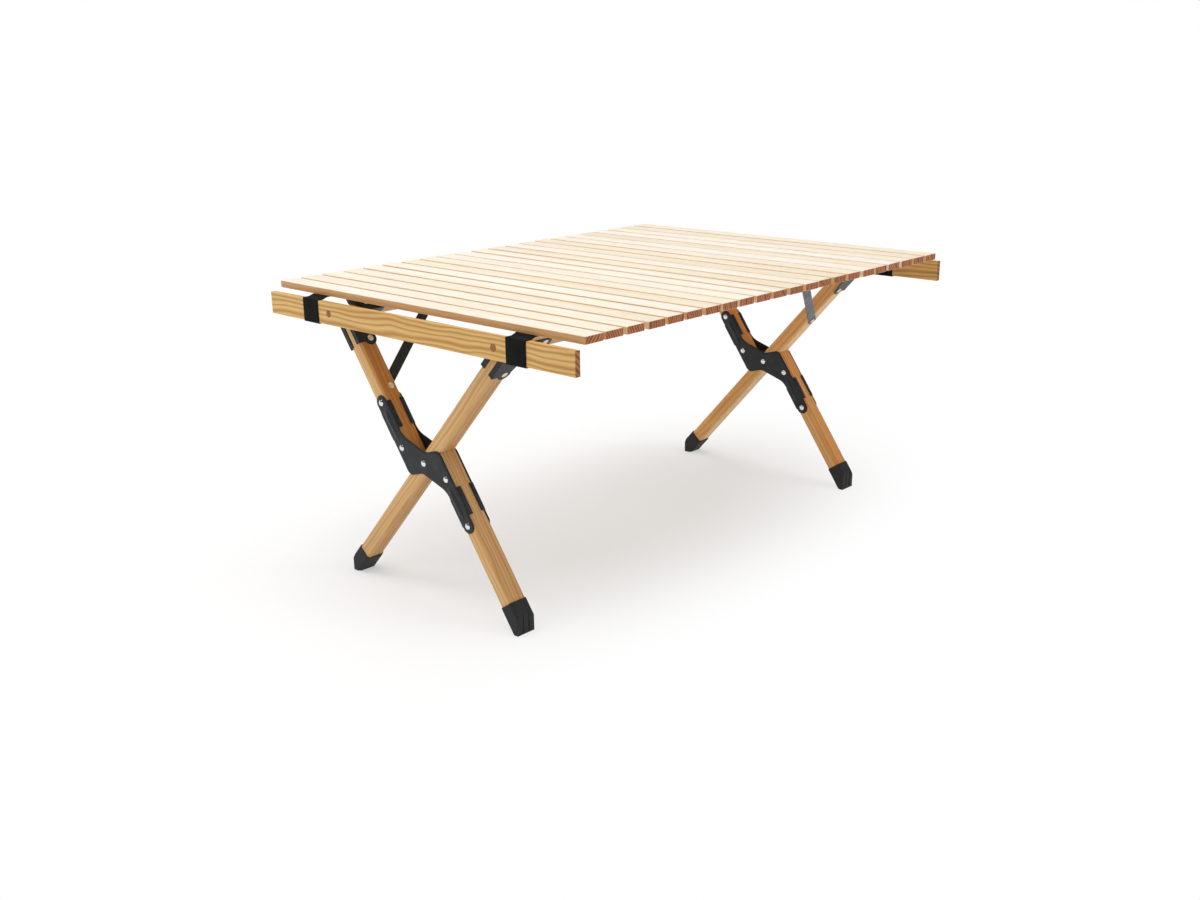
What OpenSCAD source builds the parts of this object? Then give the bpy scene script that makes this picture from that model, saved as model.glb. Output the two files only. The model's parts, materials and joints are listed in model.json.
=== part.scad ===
// Roll top camp table: slatted top on two webbing straps, carried by a folding wooden X frame.
// Frame: +X along the table, +Y along the slats, +Z up. The origin is on the floor under the middle of the table.

/* [Table top] */
// Height of the table top above the floor
table_h = 411; // [400:1:430]
// Length of one slat and of each end beam, the table's width
slat_len = 600; // [560:5:680]
// Width of one slat
slat_w = 31; // [28:0.5:33]
// Thickness of one slat
slat_t = 10; // [8:0.5:12]
// Gap between neighbouring slats
slat_gap = 5.4; // [5:0.2:7]
// Radius of the eased edges of a slat
slat_ease = 1; // [0.4:0.1:1.6]

/* [End beams] */
// Thickness of an end beam
beam_t = 8; // [7:0.5:9.5]
// Height of an end beam
beam_h = 31; // [28:0.5:33]
// Gap between the last slat and the end beam
beam_gap = 8; // [7:0.5:10]
// Drop from the underside of the slats to the top of a beam
beam_drop = 3.8; // [3:0.1:5]
// Diameter of the dowels that carry the beams
dowel_d = 10.5; // [9:0.5:11]
// Clearance round a dowel in its seat
seat_play = 0.35; // [0.3:0.05:0.5]

/* [Straps] */
// Width of a webbing strap
strap_w = 34; // [28:1:40]
// Thickness of the webbing
strap_t = 1.4; // [1:0.1:1.6]
// Distance of each strap from the middle of the table
strap_y = 204; // [200:1:214]

/* [Folding frame] */
// Drop from the table top to the scissor pivot
pivot_drop = 212.5; // [209:0.5:216]
// Lean of the split legs from upright
lean_a = 35.25; // [34.5:0.25:36]
// Sideways offset of the split legs from the pivot
lane = 28.5; // [28.5:0.25:30]
// Width of a leg across its panel
leg_w = 22; // [20:0.5:22]
// Depth of a leg along the table
leg_t = 27; // [25:0.5:28]
// Chamfer on the long edges of the legs
leg_cham = 2.5; // [1.5:0.25:3.5]
// Distance from the last slat's outer edge in to the middle of the legs
leg_inset = 16.5; // [15.5:0.25:17.5]
// Height of a rail, measured up the panel
rail_h = 30; // [26:1:32]
// Gap between the open stop's faces
stop_gap = 0.2; // [0.1:0.05:0.3]
// Play between the plain leg and the steel plates on each side
side_play = 0.2; // [0.1:0.05:0.4]

/* [Steel parts] */
// Thickness of the Z shaped plates
plate_t = 2; // [1.5:0.25:2.5]
// Depth of the bent flanges on the Z shaped plates
flange_d = 6; // [4:0.5:8]
// Thickness of flanges and bracket cheeks
cheek_t = 1.5; // [1.2:0.1:1.6]
// Distance of the inner rivets up the split leg from the pivot
rivet_q1 = 36; // [34:0.5:40]
// Distance of the outer rivets up the split leg from the pivot
rivet_q2 = 104; // [96:0.5:106]
// Shank diameter of the rivets
rivet_d = 6; // [5:0.25:6.5]
// Diameter of the scissor pin
pin_d = 7; // [6:0.25:7.5]
// Head diameter of the rivets
head_d = 9.5; // [9:0.25:11]
// Height of a domed head
head_h = 2.4; // [1.8:0.1:2.6]
// Height of the flat heads on the brackets
low_head_h = 1.4; // [1:0.1:1.5]
// Radial clearance of a shank in its hole
fit = 0.05; // [0.02:0.01:0.08]
// Drop from the underside of a rail to the bracket's leg rivet
knee_drop = 42; // [40:0.5:44]
// Width of a bracket's lip on the outer face of the leg
lip_w = 7.5; // [5:0.5:9]
// Distance of the bracket's leg rivet in from the middle of the leg
knee_in = 5.5; // [4:0.5:6]
// Width of a brace bar
brace_w = 14; // [12:0.5:15]
// Thickness of a brace bar
brace_t = 2; // [1.5:0.25:2.5]
// Distance of the brace stud up the leg from the pivot
stud_q = 122; // [120:0.5:128]
// Reach of the brace along the rail
brace_reach = 160; // [150:1:166]

/* [Rubber feet] */
// Wall of a rubber boot
boot_wall = 1.5; // [1.5:0.25:2.5]
// Thickness of the sole under the leg
boot_sole = 5; // [4:0.5:6]
// Length of a boot up the leg from the floor
boot_h = 45; // [42:1:48]
// How far the upright outer facet stands inside the leg's axis at the floor
boot_tuck = 4; // [2:0.5:6]

/* [Hidden] */
$fn = 48;
slat_n = 22;
pitch = slat_w + slat_gap;
top_half = (slat_n * slat_w + (slat_n - 1) * slat_gap) / 2;
slat_z = table_h - slat_t;
pivot_z = table_h - pivot_drop;
beam_in = top_half + beam_gap;
beam_out = beam_in + beam_t;
beam_z1 = slat_z - beam_drop;
beam_z0 = beam_z1 - beam_h;
dowel_z = (beam_z0 + beam_z1) / 2;
leg_x = top_half - leg_inset;
rise = dowel_z - pivot_z;
dowel_y = rise * tan(lean_a) + lane / cos(lean_a);
lean_b = atan(dowel_y / rise);
rail_z = slat_z - strap_t - 0.1;
rail_end = leg_x - leg_t / 2 - 0.5;
rail_qa = (rail_z - pivot_z + lane * sin(lean_a)) / cos(lean_a);
rail_qb = (rail_z - pivot_z) / cos(lean_b);
knee_qa = rail_qa - rail_h - knee_drop;
knee_qb = rail_qb - rail_h - knee_drop;
knee_x = leg_x - knee_in;
leg_up = rise / cos(lean_b) + 60;
leg_down = pivot_z / cos(lean_b) + 60;
stud_x = leg_x - 4.5;
brace_x = stud_x - brace_reach;
brace_qa = rail_qa - rail_h / 2;
brace_qb = rail_qb - rail_h / 2;
bore = rivet_d + 2 * fit;
beyond = 2 * slat_len;

// Panel frames: local X along the table, local Y across the panel, local Z up the leg
module in_a() { translate([0, 0, pivot_z]) rotate([-lean_a, 0, 0]) children(); }
module in_b() { translate([0, 0, pivot_z]) rotate([lean_b, 0, 0]) children(); }

// Shapes drawn across the table or flat in a panel, pushed to their thickness
module across(t) { rotate([90, 0, 90]) linear_extrude(t) children(); }
module flat_in(p, t) { translate([0, p + t, 0]) rotate([90, 0, 0]) linear_extrude(t) children(); }
module along_x(d, len) { rotate([0, 90, 0]) cylinder(d = d, h = len); }
module along_y(d, len) { rotate([-90, 0, 0]) cylinder(d = d, h = len); }

// A bar with chamfered edges, standing on local Z
module bar(w, t, c, z0, z1) {
  translate([0, 0, z0]) linear_extrude(z1 - z0)
    polygon([[-t/2 + c, -w/2], [t/2 - c, -w/2], [t/2, -w/2 + c], [t/2, w/2 - c],
      [t/2 - c, w/2], [-t/2 + c, w/2], [-t/2, w/2 - c], [-t/2, -w/2 + c]]);
}

// A head with a domed top, base on local Z zero
module dome(d, h) {
  r = (d * d / 4 + h * h) / (2 * h);
  intersection() {
    translate([0, 0, h - r]) sphere(r = r);
    cylinder(d = d, h = h);
  }
}

// A rivet along X from x0 to x1 with a domed head on each end
module rivet_x(x0, x1, d, hd, hh) {
  translate([x0, 0, 0]) along_x(d, x1 - x0);
  translate([x0, 0, 0]) rotate([0, -90, 0]) dome(hd, hh);
  translate([x1, 0, 0]) rotate([0, 90, 0]) dome(hd, hh);
}

// A rivet along local Y from y0 to y1 with a low head on each end
module rivet_y(y0, y1, d, hd, hh) {
  translate([0, y0, 0]) along_y(d, y1 - y0);
  translate([0, y0, 0]) rotate([90, 0, 0]) dome(hd, hh);
  translate([0, y1, 0]) rotate([-90, 0, 0]) dome(hd, hh);
}

// Space above the seat in a leg's top end: a slot for the dowel, a high inner wall and a low outer lip
module seat_space(x, side) {
  r = dowel_d / 2;
  z0 = dowel_z - r - seat_play;
  half = r + seat_play;
  translate([x - leg_t, 0, 0]) across(2 * leg_t) scale([side, 1])
    polygon([[dowel_y - half, z0], [dowel_y + half, z0], [dowel_y + half, z0 + 0.42 * r],
      [dowel_y + 60, z0 + 0.42 * r], [dowel_y + 60, z0 + 90], [dowel_y - 60, z0 + 90],
      [dowel_y - 60, dowel_z + 3], [dowel_y - half, dowel_z + 3]]);
}

// Half space beyond one face of the plain leg, which the split legs butt against when the frame is open
module beyond_b(side) {
  in_b() scale([1, side, 1]) translate([-beyond, -beyond + leg_w / 2 + stop_gap, -beyond]) cube([2 * beyond, beyond, 2 * beyond]);
}

// Space outside a leg's toe: below the boot's sole and beyond the wall of its upright facet
module toe_space(x, side) {
  deep = 4 * boot_h;
  y = boot_out(side) - boot_wall;
  translate([x - deep, -2 * y, boot_sole - deep]) cube([2 * deep, 4 * y, deep]);
  translate([x - deep, side > 0 ? y : -y - deep, -deep / 2]) cube([2 * deep, deep, deep]);
}

// One half of a split leg, upper (side 1) or lower (side -1), centred at x
module split_leg(x, side) {
  difference() {
    in_a() translate([x, side * lane, 0]) rotate([side > 0 ? 0 : 180, 0, 0])
      bar(leg_w, leg_t, leg_cham, -20, side > 0 ? leg_up : leg_down);
    beyond_b(side);
    if (side > 0) seat_space(x, 1);
    if (side < 0) toe_space(x, -1);
    in_a() for (q = [rivet_q1, rivet_q2])
      translate([x - leg_t, side * lane, side * q]) along_x(bore, 2 * leg_t);
    if (side > 0) in_a() translate([sign(x) * knee_x, lane - leg_w, knee_qa]) along_y(bore, 2 * leg_w);
    if (side > 0 && x < 0) in_a() translate([-stud_x, lane - leg_w, stud_q]) along_y(bore, 2 * leg_w);
  }
}

// The plain leg, in one piece from seat to foot
module plain_leg(x) {
  difference() {
    in_b() translate([x, 0, 0]) bar(leg_w, leg_t - 2 * side_play, leg_cham, -leg_down, leg_up);
    seat_space(x, -1);
    toe_space(x, 1);
    in_b() translate([x - leg_t, 0, 0]) along_x(pin_d + 2 * fit, 2 * leg_t);
    in_b() translate([sign(x) * knee_x, -leg_w, knee_qb]) along_y(bore, 2 * leg_w);
    if (x > 0) in_b() translate([stud_x, -leg_w, stud_q]) along_y(bore, 2 * leg_w);
  }
}

// A rail along the table, its top cut level under the straps
module rail_bar(p, q1) {
  c = 2;
  translate([-rail_end, p, q1 - rail_h]) across(2 * rail_end)
    polygon([[-leg_w/2 + c, 0], [leg_w/2 - c, 0], [leg_w/2, c], [leg_w/2, rail_h + 20], [-leg_w/2, rail_h + 20], [-leg_w/2, c]]);
}
module above_rail() { translate([-beyond, -beyond / 2, rail_z]) cube([2 * beyond, beyond, beyond]); }
rail_rivet_x = [rail_end - 10, rail_end - 28];

// Outline of a Z shaped plate, drawn as (across, up)
module z_outline() {
  w = leg_w / 2;
  low = 0.89 * w;
  for (s = [1, -1]) {
    translate([s * lane, s * rivet_q2]) circle(r = w);
    translate([s * lane, s * low]) circle(r = w);
    translate([s * lane - w, s > 0 ? low : -rivet_q2]) square([leg_w, rivet_q2 - low]);
  }
  c = rivet_q1 + 1.45 * w;
  polygon([[lane - w, c], [-1.03 * w, 0.95 * w], [-lane - w / 2, -w / 4],
    [-lane + w, -c], [1.03 * w, -0.95 * w], [lane + w / 2, w / 4]]);
}

// A Z shaped plate with its flanges, its leg side on x and its outside towards dir
module z_plate(x, dir) {
  w = leg_w / 2;
  in_a() difference() {
    union() {
      translate([dir > 0 ? x : x - plate_t, 0, 0]) across(plate_t) z_outline();
      for (s = [1, -1], k = [[-1, rivet_q2 - 42, rivet_q2 - 2], [1, rivet_q2 - 52, rivet_q2 - 12]]) {
        p0 = s * lane + s * k[0] * (w + cheek_t / 2) - cheek_t / 2;
        q0 = s > 0 ? k[1] : -k[2];
        translate([dir > 0 ? x - flange_d : x - plate_t, p0, q0]) cube([flange_d + plate_t, cheek_t, k[2] - k[1]]);
      }
    }
    translate([x - 10, 0, 0]) along_x(pin_d + 2 * fit, 20);
    for (s = [1, -1], q = [rivet_q1, rivet_q2]) translate([x - 10, s * lane, s * q]) along_x(bore, 20);
  }
}

// One cheek of a leg top bracket, drawn as (along, up) for a leg at +X
module cheek_outline(q1) {
  o = leg_x + leg_t / 2 + cheek_t;
  i = rail_end - 38;
  u = q1 - rail_h;
  knee_q = u - knee_drop;
  translate([knee_x, knee_q]) circle(r = 9.5);
  polygon([[knee_x + 8, knee_q - 5], [knee_x + 10, knee_q - 3], [o - 1, knee_q - 4], [o, knee_q - 3], [o, u - 6], [o - 4, u - 2],
    [rail_end, u - 2], [rail_end, u + rail_h - 12], [i + 3, u + rail_h - 12], [i, u + rail_h - 15], [i, u - cheek_t],
    [rail_end - 12, u - cheek_t], [knee_x - 9.5, knee_q + 3], [knee_x - 7, knee_q]]);
}

// A leg top bracket: two cheeks over leg and rail, each with a lip on the leg's outer face, and a web under the rail
module bracket(p, q1, dir) {
  w = leg_w / 2;
  u = q1 - rail_h;
  knee_q = u - knee_drop;
  scale([dir, 1, 1]) difference() {
    union() {
      flat_in(p - w - cheek_t, cheek_t) cheek_outline(q1);
      flat_in(p + w, cheek_t) cheek_outline(q1);
      translate([rail_end - 38, p - w, u - cheek_t]) cube([24, leg_w, cheek_t]);
      for (y = [p - w - cheek_t, p + w + cheek_t - lip_w])
        translate([leg_x + leg_t / 2, y, knee_q - 3]) cube([cheek_t, lip_w, knee_drop - 3]);
    }
    translate([knee_x, p - leg_w, knee_q]) along_y(bore, 2 * leg_w);
    for (x = rail_rivet_x) translate([x, p - leg_w, u + 12]) along_y(bore, 2 * leg_w);
  }
}

// Rivets of one panel's two brackets
module bracket_rivets(p, q1) {
  w = leg_w / 2 + cheek_t;
  for (dir = [-1, 1]) {
    translate([dir * knee_x, p, q1 - rail_h - knee_drop]) rivet_y(-w, w, rivet_d, 10, low_head_h);
    for (x = rail_rivet_x) translate([dir * x, p, q1 - rail_h + 12]) rivet_y(-w, w, rivet_d, 10, low_head_h);
  }
}

// A brace bar from the rail pivot down to the hook on the leg stud, for a leg at +X
module brace_bar(p, qr) {
  dq = qr - stud_q;
  len = sqrt(brace_reach * brace_reach + dq * dq);
  ang = atan2(dq, brace_reach);
  slot = rivet_d + 0.8;
  translate([brace_x, 0, qr]) rotate([0, ang, 0]) difference() {
    flat_in(p, brace_t) difference() {
      union() {
        circle(d = brace_w);
        translate([0, -brace_w / 2]) square([len + 8, brace_w]);
      }
      circle(d = bore);
      translate([len, 0]) circle(d = slot);
      translate([len - slot / 2, 0]) square([slot, brace_w]);
    }
  }
}

// The rail pivot rivet and the leg stud of a brace on the panel's outer face
module brace_rivets(p, w, face, qr) {
  out = brace_t + 0.3;
  y0 = face > 0 ? p - w : p - w - out;
  y1 = face > 0 ? p + w + out : p + w;
  translate([brace_x, 0, qr]) rivet_y(y0, y1, rivet_d, 10, low_head_h);
  translate([stud_x, 0, stud_q]) rivet_y(y0, y1, rivet_d, 10, low_head_h);
}

// A rubber boot, its block following the leg down to a flat sole and an upright outer facet
module boot(x, side) {
  w = leg_w + 2 * boot_wall;
  t = leg_t + 2 * boot_wall;
  difference() {
    intersection() {
      if (side < 0) in_a() translate([x, -lane, 0]) bar(w, t, leg_cham + 1, -leg_down, 0);
      else in_b() translate([x, 0, 0]) bar(w, t, leg_cham + 1, -leg_down, 0);
      translate([x - boot_h, side > 0 ? boot_out(1) - 2 * boot_h : -boot_out(-1), 0]) cube([2 * boot_h, 2 * boot_h, boot_h]);
      if (side < 0) in_a() translate([x - boot_h, -lane - boot_h, -boot_q(lean_a, -lane)]) cube([2 * boot_h, 2 * boot_h, boot_h + 6]);
      else in_b() translate([x - boot_h, -boot_h, -boot_q(lean_b, 0)]) cube([2 * boot_h, 2 * boot_h, boot_h + 6]);
    }
    difference() {
      if (side < 0) in_a() translate([x, -lane, 0]) bar(leg_w, leg_t, leg_cham, -leg_down, 0);
      else in_b() translate([x, 0, 0]) bar(leg_w, leg_t - 2 * side_play, leg_cham, -leg_down, 0);
      toe_space(x, side);
    }
    for (k = [-1, 1]) translate([x + 4.7 * k - 1.1, side * boot_out(side) - 1, 4]) cube([2.2, 2, boot_h]);
  }
}
function boot_out(side) = (side > 0 ? pivot_z * tan(lean_b)
  : lane * cos(lean_a) + (pivot_z + lane * sin(lean_a)) * tan(lean_a)) - boot_tuck;
function boot_q(lean, p) = (pivot_z - p * sin(lean)) / cos(lean) + 6;
// A plank with eased long edges, lying along Y, drawn from x0
module plank(x0, w, z0, t, len, e) {
  translate([x0, len / 2, z0]) rotate([90, 0, 0]) linear_extrude(len)
    polygon([[e, 0], [w - e, 0], [w, e], [w, t - e], [w - e, t], [e, t], [0, t - e], [0, e]]);
}

// Slat number k, counted from the near end
module slat(k) { color("cornsilk") plank(-top_half + (k - 1) * pitch, slat_w, slat_z, slat_t, slat_len, slat_ease); }

// An end beam, drilled for its dowels, towards dir
module beam(dir) {
  difference() {
    plank(dir > 0 ? beam_in : -beam_out, beam_t, beam_z0, beam_h, slat_len, 0.6);
    for (s = [-1, 1]) translate([dir * (beam_in + beam_t / 2) - 20, s * dowel_y, dowel_z]) along_x(dowel_d + 2 * fit, 40);
  }
}

// The two dowels of an end beam, flush with its outer face and reaching in over the leg tops
module dowels(dir) {
  tip = leg_x - leg_t / 2 + 2;
  for (s = [-1, 1]) translate([dir > 0 ? tip : -beam_out, s * dowel_y, dowel_z]) along_x(dowel_d, beam_out - tip);
}

// A strap under the slats that loops round both end beams, drawn as one profile with a hole for each beam
module strap(y) {
  t = strap_t;
  half = [[top_half, slat_z], [beam_in, beam_z1 + t], [beam_out + t, beam_z1 + t], [beam_out + t, beam_z0 - t],
    [beam_in - t, beam_z0 - t], [beam_in - t, beam_z1 + 0.3 * t], [top_half, slat_z - t]];
  n = len(half);
  translate([0, y + strap_w / 2, 0]) rotate([90, 0, 0]) linear_extrude(strap_w) difference() {
    polygon(concat(half, [for (k = [0 : n - 1]) [-half[n - 1 - k][0], half[n - 1 - k][1]]]));
    for (d = [-1, 1]) translate([d > 0 ? beam_in : -beam_out, beam_z0]) square([beam_t, beam_h]);
  }
}

module rail_a() {
  color("burlywood") difference() {
    in_a() rail_bar(lane, rail_qa);
    above_rail();
    in_a() for (d = [-1, 1], x = rail_rivet_x) translate([d * x, lane - leg_w, rail_qa - rail_h + 12]) along_y(bore, 2 * leg_w);
    in_a() translate([-brace_x, lane - leg_w, brace_qa]) along_y(bore, 2 * leg_w);
  }
}
module rail_b() {
  color("burlywood") difference() {
    in_b() rail_bar(0, rail_qb);
    above_rail();
    in_b() for (d = [-1, 1], x = rail_rivet_x) translate([d * x, -leg_w, rail_qb - rail_h + 12]) along_y(bore, 2 * leg_w);
    in_b() translate([brace_x, -leg_w, brace_qb]) along_y(bore, 2 * leg_w);
  }
}
module leg_a_near_upper() { color("burlywood") split_leg(-leg_x, 1); }
module leg_a_near_lower() { color("burlywood") split_leg(-leg_x, -1); }
module leg_a_far_upper() { color("burlywood") split_leg(leg_x, 1); }
module leg_a_far_lower() { color("burlywood") split_leg(leg_x, -1); }
module leg_b_near() { color("burlywood") plain_leg(-leg_x); }
module leg_b_far() { color("burlywood") plain_leg(leg_x); }
module z_plate_near_outer() { color("dimgray") z_plate(-leg_x - leg_t / 2, -1); }
module z_plate_near_inner() { color("dimgray") z_plate(-leg_x + leg_t / 2, 1); }
module z_plate_far_inner() { color("dimgray") z_plate(leg_x - leg_t / 2, -1); }
module z_plate_far_outer() { color("dimgray") z_plate(leg_x + leg_t / 2, 1); }
module plate_rivets(x) {
  w = leg_t / 2 + plate_t;
  color("silver") in_a() for (s = [1, -1], q = [rivet_q1, rivet_q2])
    translate([x, s * lane, s * q]) rivet_x(-w, w, rivet_d, head_d, head_h);
}
module scissor_pin(x) {
  w = leg_t / 2 + plate_t;
  color("silver") in_a() translate([x, 0, 0]) rivet_x(-w, w, pin_d, head_d, head_h);
}
module plate_rivets_near() { plate_rivets(-leg_x); }
module plate_rivets_far() { plate_rivets(leg_x); }
module scissor_pin_near() { scissor_pin(-leg_x); }
module scissor_pin_far() { scissor_pin(leg_x); }
module bracket_a_near() { color("dimgray") in_a() bracket(lane, rail_qa, -1); }
module bracket_a_far() { color("dimgray") in_a() bracket(lane, rail_qa, 1); }
module bracket_b_near() { color("dimgray") in_b() bracket(0, rail_qb, -1); }
module bracket_b_far() { color("dimgray") in_b() bracket(0, rail_qb, 1); }
module bracket_rivets_a() { color("wheat") in_a() bracket_rivets(lane, rail_qa); }
module bracket_rivets_b() { color("wheat") in_b() bracket_rivets(0, rail_qb); }
module brace_near() { color("darkslategray") in_a() scale([-1, 1, 1]) brace_bar(lane + leg_w / 2 + 0.15, brace_qa); }
module brace_far() { color("slategray") in_b() brace_bar(-leg_w / 2 - brace_t - 0.15, brace_qb); }
module brace_rivets_near() { color("wheat") in_a() scale([-1, 1, 1]) brace_rivets(lane, leg_w / 2, 1, brace_qa); }
module brace_rivets_far() { color("wheat") in_b() brace_rivets(0, leg_w / 2, -1, brace_qb); }
module foot_a_near() { color("black") boot(-leg_x, -1); }
module foot_a_far() { color("black") boot(leg_x, -1); }
module foot_b_near() { color("black") boot(-leg_x, 1); }
module foot_b_far() { color("black") boot(leg_x, 1); }
module beam_near() { color("navajowhite") beam(-1); }
module beam_far() { color("navajowhite") beam(1); }
module dowels_near() { color("peru") dowels(-1); }
module dowels_far() { color("peru") dowels(1); }
module strap_left() { color("black") strap(strap_y); }
module strap_right() { color("black") strap(-strap_y); }

rail_a();
rail_b();
leg_a_near_upper();
leg_a_near_lower();
leg_a_far_upper();
leg_a_far_lower();
leg_b_near();
leg_b_far();
z_plate_near_outer();
z_plate_near_inner();
z_plate_far_inner();
z_plate_far_outer();
plate_rivets_near();
plate_rivets_far();
scissor_pin_near();
scissor_pin_far();
bracket_a_near();
bracket_a_far();
bracket_b_near();
bracket_b_far();
bracket_rivets_a();
bracket_rivets_b();
brace_near();
brace_far();
brace_rivets_near();
brace_rivets_far();
foot_a_near();
foot_a_far();
foot_b_near();
foot_b_far();
beam_near();
beam_far();
dowels_near();
dowels_far();
strap_left();
strap_right();
slat(1);  // slat_01
slat(2);  // slat_02
slat(3);  // slat_03
slat(4);  // slat_04
slat(5);  // slat_05
slat(6);  // slat_06
slat(7);  // slat_07
slat(8);  // slat_08
slat(9);  // slat_09
slat(10);  // slat_10
slat(11);  // slat_11
slat(12);  // slat_12
slat(13);  // slat_13
slat(14);  // slat_14
slat(15);  // slat_15
slat(16);  // slat_16
slat(17);  // slat_17
slat(18);  // slat_18
slat(19);  // slat_19
slat(20);  // slat_20
slat(21);  // slat_21
slat(22);  // slat_22
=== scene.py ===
import json
import math

import bmesh
import bpy
import numpy as np
from mathutils import Matrix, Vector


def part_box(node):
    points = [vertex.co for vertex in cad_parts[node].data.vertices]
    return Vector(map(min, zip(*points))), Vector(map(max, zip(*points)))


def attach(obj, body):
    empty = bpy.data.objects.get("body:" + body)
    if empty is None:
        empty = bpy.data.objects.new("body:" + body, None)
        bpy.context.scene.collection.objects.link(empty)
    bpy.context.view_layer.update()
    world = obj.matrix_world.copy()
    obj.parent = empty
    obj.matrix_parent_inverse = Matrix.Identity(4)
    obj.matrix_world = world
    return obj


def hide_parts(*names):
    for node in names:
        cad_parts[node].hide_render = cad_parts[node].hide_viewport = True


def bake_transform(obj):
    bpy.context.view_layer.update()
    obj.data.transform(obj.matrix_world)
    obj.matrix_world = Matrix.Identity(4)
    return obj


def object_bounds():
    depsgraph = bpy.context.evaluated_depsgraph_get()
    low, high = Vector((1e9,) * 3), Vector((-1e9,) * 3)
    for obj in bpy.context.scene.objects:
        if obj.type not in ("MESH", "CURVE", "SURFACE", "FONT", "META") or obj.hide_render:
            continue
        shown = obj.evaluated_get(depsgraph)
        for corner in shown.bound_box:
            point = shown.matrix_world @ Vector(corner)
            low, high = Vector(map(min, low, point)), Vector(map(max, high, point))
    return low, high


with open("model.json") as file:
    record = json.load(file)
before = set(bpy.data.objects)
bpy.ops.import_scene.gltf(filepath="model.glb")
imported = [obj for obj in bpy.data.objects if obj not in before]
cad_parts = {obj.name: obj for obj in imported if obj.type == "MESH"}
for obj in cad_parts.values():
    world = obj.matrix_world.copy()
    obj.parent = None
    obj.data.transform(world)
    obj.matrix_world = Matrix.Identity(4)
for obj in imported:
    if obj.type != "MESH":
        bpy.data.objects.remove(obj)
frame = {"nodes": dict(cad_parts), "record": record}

bl_info = {
    "name": "Roll top camp table",
    "version": (1, 0, 0),
    "blender": (4, 5, 0),
    "location": "3D View > Sidebar > Camp Table",
    "description": "Dresses the slatted camp table with wood, webbing, coated steel and rubber",
    "category": "Object",
}

CAD_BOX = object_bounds()
BODY_OF = {}
for body_name, body_nodes in frame["record"]["behaviour"]["bodies"].items():
    for node_name in body_nodes:
        BODY_OF[node_name] = body_name
ENDS = ["near", "far"]
SLATS = sorted(name for name in frame["nodes"] if name.startswith("slat_"))

# How far each slat sits along the strap from its even place, in millimetres
SEATS = (1.0, -1.0, -0.9, 0.4, 0.8, 0.9, 1.0, 0.9, -1.0, -0.8, -0.3,
         0.5, 1.0, -0.9, -0.9, 0.1, 0.6, -0.7, 0.2, 1.0, -0.8, -0.2)

# Axes of a stick that lies along Y or X: two across the grain, then the grain
GRAIN_Y = ((1, 0, 0), (0, 0, 1), (0, 1, 0))
GRAIN_X = ((0, 1, 0), (0, 0, 1), (1, 0, 0))

# Half the width of a leg
LEG_HALF = 0.011

# Pivot height, panel leans and the split legs' offset, read from the joints
JOINTS = {joint["name"]: joint for joint in frame["record"]["behaviour"]["joints"]}
PIVOT = JOINTS["frame_fold"]["pos_m"][2]
LEAN_A = math.atan2(JOINTS["brace_a_swing"]["axis"][2], -JOINTS["brace_a_swing"]["axis"][1])
LEAN_B = math.atan2(JOINTS["brace_b_swing"]["axis"][2], JOINTS["brace_b_swing"]["axis"][1])
LANE = JOINTS["brace_a_swing"]["pos_m"][1] * math.cos(LEAN_A)
LANE -= (JOINTS["brace_a_swing"]["pos_m"][2] - PIVOT) * math.sin(LEAN_A) + LEG_HALF


class CampTableTop(bpy.types.PropertyGroup):
    """Sizes and colours of the rolling top"""
    ease: bpy.props.FloatProperty(
        name="Slat edge", description="Radius on the long edges of a slat",
        default=0.0012, min=0.0005, max=0.003, unit="LENGTH")
    stagger: bpy.props.FloatProperty(
        name="Stagger", description="How far slat ends stand in or out of line",
        default=0.0011, min=0.0, max=0.003, unit="LENGTH")
    slat_early: bpy.props.FloatVectorProperty(
        name="Slat spring wood", description="Pale part of a growth ring in a slat",
        default=(0.92, 0.87, 0.775), min=0, max=1, subtype="COLOR")
    slat_late: bpy.props.FloatVectorProperty(
        name="Slat summer wood", description="Dark line of a growth ring in a slat",
        default=(0.87, 0.73, 0.54), min=0, max=1, subtype="COLOR")
    # Painted shade: this tint darkens the long sides of the inner slats against their pale tops
    slat_flank_shade: bpy.props.FloatVectorProperty(
        name="Slat flank", description="Tint on the sawn long sides of a slat",
        default=(0.84, 0.55, 0.25), min=0, max=1, subtype="COLOR")
    # Painted shade: this tint darkens the long sides of the first and last slat, more than the inner ones
    slat_front_shade: bpy.props.FloatVectorProperty(
        name="End slat flank", description="Tint on the long sides of the first and last slat",
        default=(0.61, 0.355, 0.145), min=0, max=1, subtype="COLOR")
    beam_early: bpy.props.FloatVectorProperty(
        name="Beam spring wood", description="Pale part of a growth ring in an end beam",
        default=(0.73, 0.475, 0.175), min=0, max=1, subtype="COLOR")
    beam_late: bpy.props.FloatVectorProperty(
        name="Beam summer wood", description="Dark line of a growth ring in an end beam",
        default=(0.47, 0.235, 0.055), min=0, max=1, subtype="COLOR")
    webbing: bpy.props.FloatVectorProperty(
        name="Webbing", description="Colour of the straps",
        default=(0.0062, 0.0061, 0.0065), min=0, max=1, subtype="COLOR")
    yarn: bpy.props.FloatProperty(
        name="Yarn pitch", description="Width of one yarn in the webbing",
        default=0.0011, min=0.0005, max=0.003, unit="LENGTH")


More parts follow.
